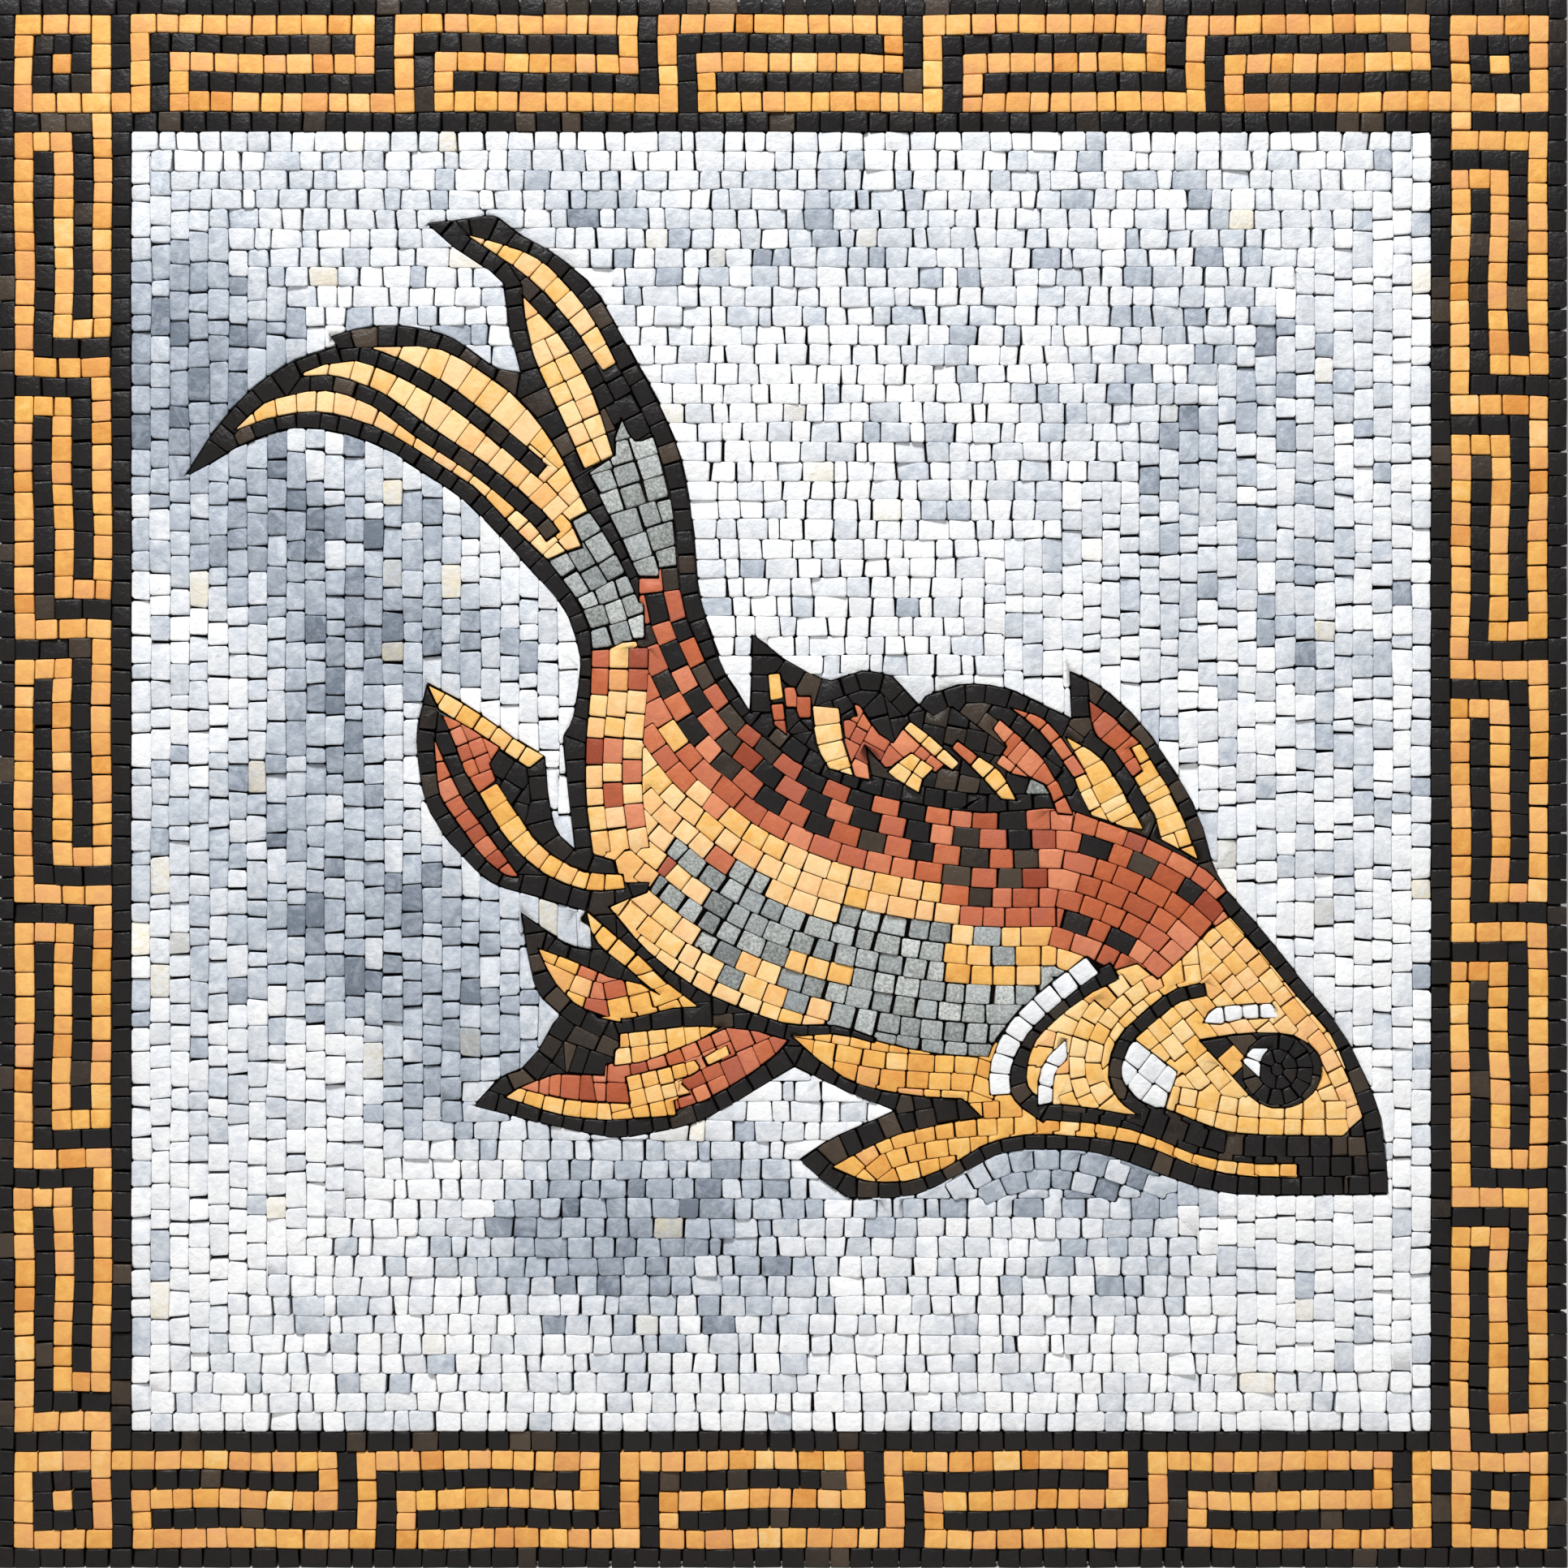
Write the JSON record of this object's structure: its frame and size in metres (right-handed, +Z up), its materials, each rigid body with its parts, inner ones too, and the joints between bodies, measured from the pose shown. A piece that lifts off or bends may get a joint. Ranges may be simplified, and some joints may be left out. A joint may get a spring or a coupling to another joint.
{
  "type": "mosaic panel",
  "caption": "Square wall panel of hand-cut marble tesserae on a mesh backing: a koi fish on a white field inside a Greek key border.",
  "frame": {"origin": "middle of the flat back of the mesh backing, where it meets the wall", "axes": "+X to the viewer's right, +Z up, +Y from the stones' face through the back into the wall"},
  "size_m": [0.6098, 0.01, 0.6098],
  "materials": {
    "black_stone": "black marble, hand-split faces, dull with small glints",
    "gold_stone": "golden yellow limestone, matt and faintly mottled",
    "red_stone": "terracotta red limestone, matt",
    "grey_stone": "speckled grey-green granular stone, matt",
    "white_stone": "white to blue-grey veined marble, tumbled soft edges",
    "mesh_backing": "woven glass-fibre mesh in dried adhesive"
  },
  "bodies": {
    "root": {"back_red": "red_stone", "belly_gold": "gold_stone", "belly_grey": "grey_stone", "body_gold": "gold_stone", "border_black_inner": "black_stone", "border_black_outer": "black_stone", "border_key_gold": "gold_stone", "brow_white": "white_stone", "cheek_white": "white_stone", "corner_black_bottom_left": "black_stone", "corner_black_bottom_right": "black_stone", "corner_black_top_left": "black_stone", "corner_black_top_right": "black_stone", "corner_gold_bottom_left": "gold_stone", "corner_gold_bottom_right": "gold_stone", "corner_gold_top_left": "gold_stone", "corner_gold_top_right": "gold_stone", "dorsal_gold_1": "gold_stone", "dorsal_gold_2": "gold_stone", "dorsal_gold_3": "gold_stone", "dorsal_gold_4": "gold_stone", "dorsal_gold_5": "gold_stone", "dorsal_gold_6": "gold_stone", "dorsal_red_1": "red_stone", "dorsal_red_2": "red_stone", "dorsal_red_3": "red_stone", "dorsal_red_4": "red_stone", "dorsal_red_5": "red_stone", "dorsal_red_6": "red_stone", "eye_white": "white_stone", "field_white": "white_stone", "fish_black_eye": "black_stone", "fish_black_lower": "black_stone", "fish_black_upper": "black_stone", "flank_gold_1": "gold_stone", "flank_gold_2": "gold_stone", "gill_crescent": "white_stone", "gill_white": "white_stone", "head_gold": "gold_stone", "jaw_gold": "gold_stone", "lobe_gold": "gold_stone", "lobe_red": "red_stone", "lower_fin_gold": "gold_stone", "lower_fin_gold_tip": "gold_stone", "lower_fin_red": "red_stone", "lower_fin_strip": "gold_stone", "mesh_backing": "mesh_backing", "pectoral_gold_fleck": "gold_stone", "pectoral_gold_low": "gold_stone", "pectoral_gold_top": "gold_stone", "pectoral_red": "red_stone", "pelvic_gold_inner": "gold_stone", "pelvic_gold_top": "gold_stone", "pelvic_red_inner": "red_stone", "pelvic_red_outer": "red_stone", "tail_gold_inner": "gold_stone", "tail_gold_lower": "gold_stone", "tail_gold_outer": "gold_stone", "tail_grey_left": "grey_stone", "tail_grey_right": "grey_stone"}
  },
  "joints": []
}
